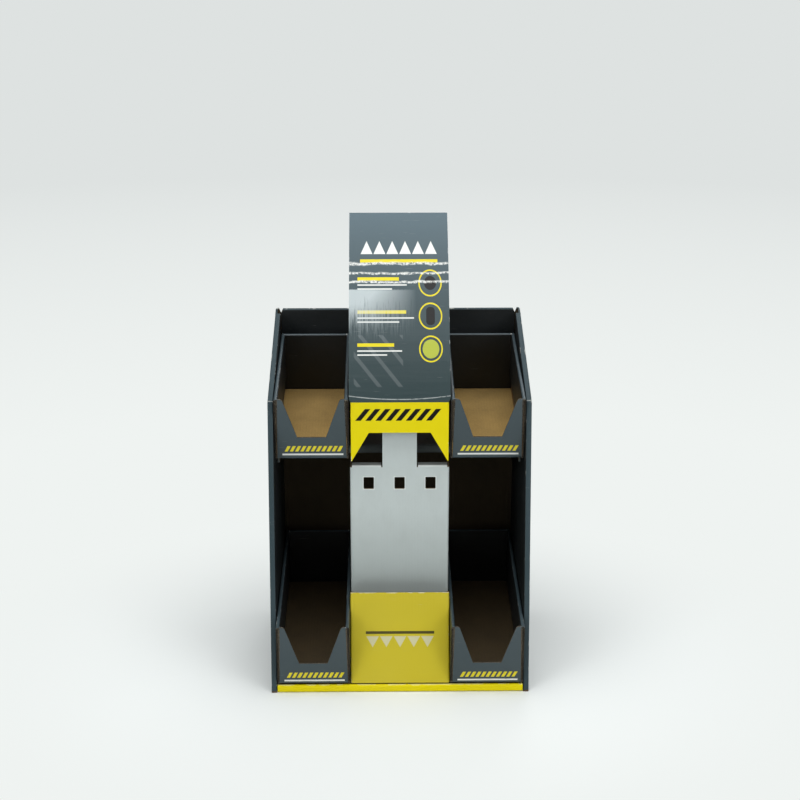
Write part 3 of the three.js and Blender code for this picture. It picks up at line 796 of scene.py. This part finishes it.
# three ragged cross streaks, painted reflections of ripples in the glossy board
def signStreaks(f):
    streaks = 0.0
    ragged = f.noise((2.8, 9, 2.8), 4, 0.8, 2.0)
    for z, half in sign["streaks"]:
        wander = f.noise(24, 3, 0.6, z * 0.01) * 6 - 4 + ragged * 2
        line = f.clamp((1 - f.clamp(abs(f.z - z + wander) / half)) * 1.6)
        streaks = line * f.above(ragged, 0.47, 0.14) + streaks
    return f.clamp(streaks)


# the pale patch on the left, a painted reflection made of upright strands
def signGlarePatch(f):
    strands = f.noise((1.5, 60, 30), 4, 0.75, 8.0)
    fading = f.clamp((f.z - 398) / 54) * (1 - f.above(f.z, 453.5, 2))
    leftward = f.clamp((20 - f.x) / 62)
    return f.clamp(fading * leftward * 1.3) * f.clamp((strands - 0.58 + fading * 0.5) * 4)


def signFinish():
    f = Finish("glossy_sign_print_and_painted_reflections", Specular_IOR_Level=0.24)
    # the face is lighter towards the top: a painted reflection of the overhead light
    rise = f.clamp((f.z - sign["fold"]) / 190)
    base = f.mix(rise * rise, sign["low"], sign["high"])
    diagonal = ((f.x + f.z * 0.9) / 24).math("FRACT")
    sheen = f.band(diagonal, 0.30, 0.52, 0.05) * f.patch(f.x, f.z, -52, 4, 356, 408, 1.5)
    colour = signPrint(f, f.mix(sheen * 0.14, base, sign["sheen"]))
    colour = f.mix(signStreaks(f) * 0.85, colour, prints["white"])
    # the pale patch on the left is a painted reflection
    rubAndGlare = signGlarePatch(f)
    colour = f.mix(rubAndGlare * 0.8, colour, sign["glare"])

    # a curved pale line along the fold, a painted highlight on the bent board, and chipped edges
    bow = f.x * f.x * 0.0011
    crease = 1 - f.above(abs(f.z - (sign["fold"] + 3.2) - bow), 0.45, 0.4)
    crease = crease * f.above(f.noise((8, 8, 2), 4, 0.7, 3.0), 0.42, 0.2)
    edge = chips(f, abs(f.x) - (sign["half"] - 0.2), 0.7, 5.0, 0.44)
    topEdge = chips(f, f.z - (sign["top"] - 0.4), 1.0, 9.0, 0.46)
    colour = f.mix(f.union(crease, edge, topEdge) * 0.8, colour, sign["crack"])
    scratch = f.above(f.noise((34, 30, 0.7), 2, 0.5, 2.0), 0.74, 0.03)
    colour = f.mix(scratch * 0.15, colour, prints["white"])
    washboard = f.noise((90, 90, 4.5), 2, 0.5, 12.0)
    height = washboard * 0.6 + f.noise(11, 3, 0.5, 6.0) * 0.35
    fine = f.noise((16, 16, 0.9), 4, 0.7, 2.0)
    return f.paint(colour, fine * 0.14 + 0.27 + rubAndGlare * 0.2, height, 0.25)


def dropFinish():
    f = Finish("yellow_drop_print", Specular_IOR_Level=0.12)
    slanted = f.x - (f.z - 325) * 0.8
    bars = stripes(f, slanted, -46, 46, 11.5, 0.55) * f.band(f.z, 318.5, 332.5)
    colour = f.mix(bars, prints["yellow"], prints["ink"])
    edge = chips(f, abs(f.x) - sign["dropHalf"], 0.7, 5.0, 0.44)
    colour = f.mix(edge * 0.8, colour, prints["white"])
    return wornPrint(f, colour, wear=0.3, shine=0.4, ripple=0.3, fluteAcross=f.x)


def plainSlate():
    f = Finish("plain_slate_back")
    colour = f.mix(f.noise(40, 3), (44, 52, 58), (54, 62, 68))
    return wornPrint(f, colour, wear=0.35, shine=0.45, ripple=0.3, fluteAcross=f.x)


def sortSign(c, n):
    drawY = c.y + yShift
    if abs(n.x) > 0.55:
        return "raw"
    if c.z < sign["fold"] + 0.2 and drawY < 2:
        if n.y < -0.7:
            return "drop"
        return "inside" if n.y > 0.7 else "raw"
    if drawY > 150 and c.z < sign["top"] - 2:
        if abs(n.y) > 0.7:
            return "back" if n.y > 0 else "inside"
        return "raw"
    onFace = n.z > 0 or (n.y < 0 and n.z > -0.2)
    onTopFold = c.z > sign["top"] - 3 and n.y > 0.3
    return "face" if onFace or onTopFold else "inside"


print("stage: sign")
signFinishes = {"face": signFinish(), "drop": dropFinish(), "inside": kraftPlain,
                "back": plainSlate(), "raw": raw}
dressedSheet("sign_card", "leaning_sign_sheet", signFinishes, sortSign)


# Floor, lights, world and camera

# a lamp has its x, y, z and width in metres, and its power
studio = {"floor": (232, 236, 235), "near": (239, 243, 241), "far": (222, 226, 225), "floorSize": 14,
          "world": 0.17,
          "overhead": (0.0, -0.35, 2.2, 2.4, 44.0),
          "left": (-1.7, -1.9, 1.35, 1.3, 16.5),
          "right": (1.7, -1.9, 1.35, 1.3, 16.0),
          "rear": (0.5, 2.6, 1.5, 1.6, 20.0)}
# degrees, and millimetres from the middle of the shell's shoulder
view = {"lens": 71.8, "sensor": 36, "pitch": 17.3, "heading": 0.7, "right": 0.3, "up": 2.27, "away": 1807.8}


def floorFinish():
    f = Finish("studio_floor", Specular_IOR_Level=0.1, Roughness=0.9)
    f.surface.inputs["Base Color"].default_value = f.colour(studio["floor"])
    reach = (f.x * f.x * 0.6 + f.y * f.y).math("SQRT")
    far = f.clamp((reach - 150) / 300)
    eased = far * far * (3 - far * 2)
    seen = Value(f, f.add("ShaderNodeLightPath", {}, []).outputs["Is Camera Ray"])
    distance = (f.x * f.x + f.y * f.y).math("SQRT")
    backdrop = f.mix(f.clamp((distance - 1000) / 2600), studio["near"], studio["far"])
    glow = f.add("ShaderNodeEmission", {}, {"Color": backdrop, "Strength": 1.0})
    blend = f.add("ShaderNodeMixShader", {}, [eased * seen, f.surface.outputs[0], glow.outputs[0]])
    f.tree.links.new(blend.outputs[0], f.tree.nodes["Material Output"].inputs["Surface"])
    return f.material


def addFloor():
    bpy.ops.object.select_all(action="DESELECT")
    bpy.ops.mesh.primitive_plane_add(size=studio["floorSize"], location=(0, 0, 0))
    floor = bpy.context.object
    floor.name = "studio_floor"
    floor.data.materials.append(floorFinish())


def addArea(name, x, y, z, size, power):
    bpy.ops.object.light_add(type="AREA", location=(x, y, z))
    lamp = bpy.context.object
    lamp.name = name
    lamp.data.shape = "DISK"
    lamp.data.size = size
    lamp.data.energy = power
    aim = Vector((0, 0, 0.25)) - Vector((x, y, z))
    lamp.rotation_euler = aim.to_track_quat("-Z", "Y").to_euler()


# the world lights the scene softly, but is seen as bright as the backdrop
def addWorld():
    world = bpy.data.worlds.new("studio_world")
    world.use_nodes = True
    bpy.context.scene.world = world
    tree = world.node_tree
    background = tree.nodes["Background"]
    path = tree.nodes.new("ShaderNodeLightPath")
    seen = tree.nodes.new("ShaderNodeMath")
    seen.operation = "MAXIMUM"
    tree.links.new(path.outputs["Is Camera Ray"], seen.inputs[0])
    tree.links.new(path.outputs["Is Transmission Ray"], seen.inputs[1])
    level = tree.nodes.new("ShaderNodeMix")
    level.inputs[2].default_value = studio["world"]
    level.inputs[3].default_value = linear(studio["far"][1])
    tree.links.new(seen.outputs[0], level.inputs[0])
    tree.links.new(level.outputs[0], background.inputs["Strength"])
    tint = [linear(c) / linear(studio["far"][1]) for c in studio["far"]]
    background.inputs["Color"].default_value = (*tint, 1)


def addCamera():
    pitch = radians(view["pitch"])
    heading = radians(view["heading"])
    forward = Vector((cos(pitch) * sin(heading), cos(pitch) * cos(heading), -sin(pitch)))
    right = Vector((cos(heading), -sin(heading), 0))
    up = Vector((sin(pitch) * sin(heading), sin(pitch) * cos(heading), cos(pitch)))
    shoulder = Vector((0, -yShift, shell["shoulder"]))
    data = bpy.data.cameras.new("view_camera")
    data.lens = view["lens"]
    data.sensor_width = view["sensor"]
    camera = bpy.data.objects.new("view_camera", data)
    camera.location = (shoulder + right * view["right"] + up * view["up"] - forward * view["away"]) * mm
    camera.rotation_euler = Euler((pi / 2 - pitch, 0, -heading))
    bpy.context.collection.objects.link(camera)
    bpy.context.scene.camera = camera


print("stage: studio")
addFloor()
for place in ("overhead", "left", "right", "rear"):
    addArea(f"{place}_softbox", *studio[place])
addWorld()
addCamera()
bpy.context.scene.view_settings.view_transform = "Standard"
